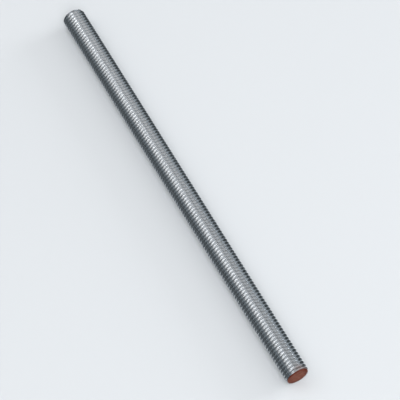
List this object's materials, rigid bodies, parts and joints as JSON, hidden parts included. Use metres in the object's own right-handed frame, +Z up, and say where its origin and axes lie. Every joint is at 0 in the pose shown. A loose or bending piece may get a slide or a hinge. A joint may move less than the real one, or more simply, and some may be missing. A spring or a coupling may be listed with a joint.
{
  "type": "threaded rod",
  "caption": "Fully threaded steel rod with a right-hand coarse thread, a small bevel at each end and a colour mark painted on one end.",
  "frame": {"origin": "middle of the rod's length, on the surface that it lies on, straight under its axis", "axes": "X along the rod's axis, +X towards the painted end; +Z up; the axis is 5 mm above the surface"},
  "size_m": [0.2002, 0.01, 0.01],
  "materials": {
    "steel": "bright rolled thread, thin zinc plating",
    "paint": "dabbed red-brown colour mark"
  },
  "bodies": {
    "root": {"threaded_rod": "steel", "end_paint": "paint"}
  },
  "joints": []
}
